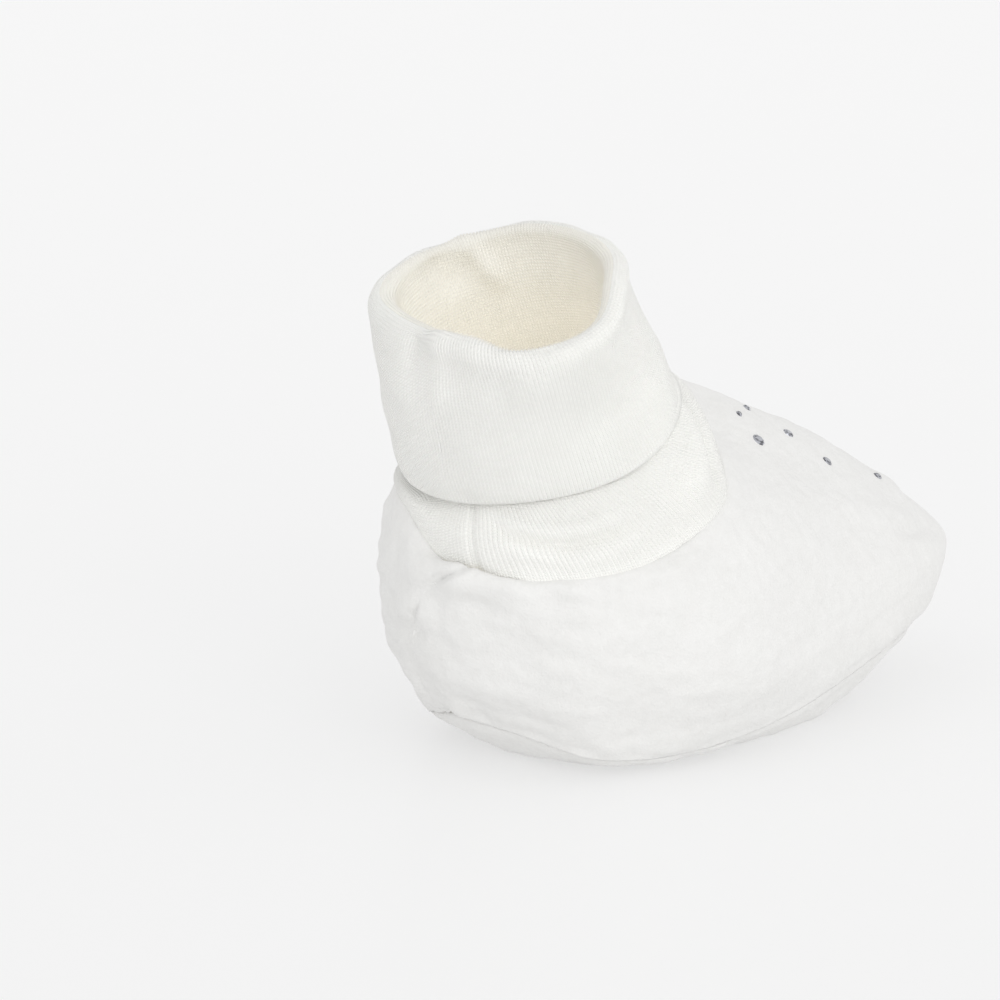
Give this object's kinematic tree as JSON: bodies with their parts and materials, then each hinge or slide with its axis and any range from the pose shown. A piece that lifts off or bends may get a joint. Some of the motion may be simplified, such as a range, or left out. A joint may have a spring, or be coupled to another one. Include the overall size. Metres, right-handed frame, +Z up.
{
  "type": "baby bootie",
  "caption": "Soft velour baby bootie with a padded sole, a fine rib ankle and a double rib cuff that is turned down and can be pulled up; small stones on the toe.",
  "frame": {"origin": "on the floor, under the middle of the bootie's length and width", "axes": "+Y towards the toe, +X towards the wearer's right as seen from behind, +Z up"},
  "size_m": [0.063, 0.1111, 0.0793],
  "materials": {
    "velour": "soft matt velour pile",
    "rib_knit": "fine matt rib knit",
    "lining_jersey": "matt cotton jersey",
    "wadding": "matt fibre wadding",
    "thread": "slightly glossy sewing thread",
    "crystal": "silver-backed cut glass"
  },
  "bodies": {
    "foot": {"upper_velour": "velour", "sole_velour": "velour", "foot_lining": "lining_jersey", "insole_lining": "lining_jersey", "sole_wadding": "wadding", "ankle_rib": "rib_knit", "sole_seam_thread": "thread", "ankle_seam_thread": "thread", "velour_back_seam_thread": "thread", "rib_back_seam_thread": "thread", "toe_crystal_01": "crystal", "toe_crystal_02": "crystal", "toe_crystal_03": "crystal", "toe_crystal_04": "crystal", "toe_crystal_05": "crystal", "toe_crystal_06": "crystal", "toe_crystal_07": "crystal", "toe_crystal_08": "crystal", "toe_crystal_09": "crystal", "toe_crystal_10": "crystal", "toe_crystal_11": "crystal"},
    "cuff": {"turned_cuff": "rib_knit", "cuff_seam_thread": "thread"}
  },
  "joints": [
    {"name": "cuff_turn_up", "type": "slide", "parent": "foot", "child": "cuff", "axis": [0, -0.3584, 0.9336], "range_m": [0, 0.018]}
  ]
}
